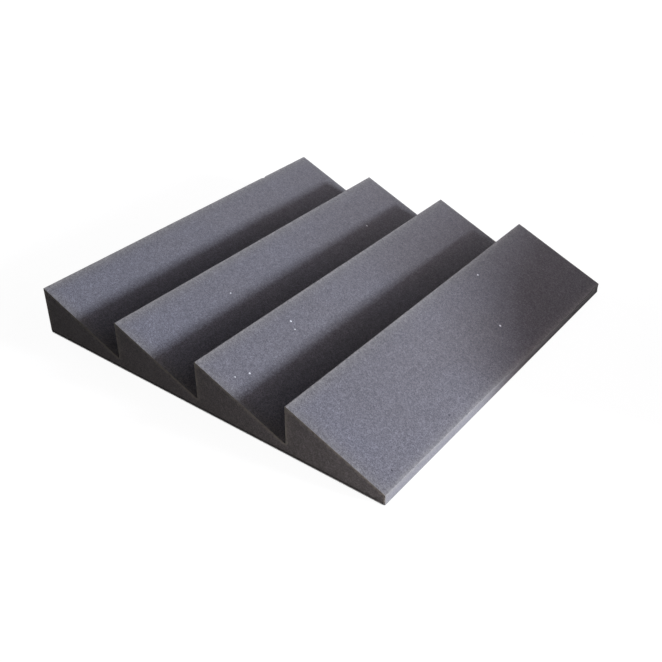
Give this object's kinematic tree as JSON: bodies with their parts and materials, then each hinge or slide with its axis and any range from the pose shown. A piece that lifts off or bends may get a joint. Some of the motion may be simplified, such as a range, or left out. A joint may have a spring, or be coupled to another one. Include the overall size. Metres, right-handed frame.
{
  "type": "acoustic foam panel",
  "caption": "Square sound-absorbing tile of open-cell foam with parallel saw-tooth ridges on its face and a flat back that is glued to a wall.",
  "frame": {"origin": "centre of the flat back face, at the bottom of the bounding box", "axes": "+X across the ridges towards the thin edge, +Y along the ridges, +Z out of the back face towards the crests"},
  "size_m": [0.6, 0.6, 0.075],
  "materials": {
    "charcoal_foam": "matte, open-cell polyurethane foam with a fine grain of cut pores"
  },
  "bodies": {
    "root": {"foam_panel": "charcoal_foam"}
  },
  "joints": []
}
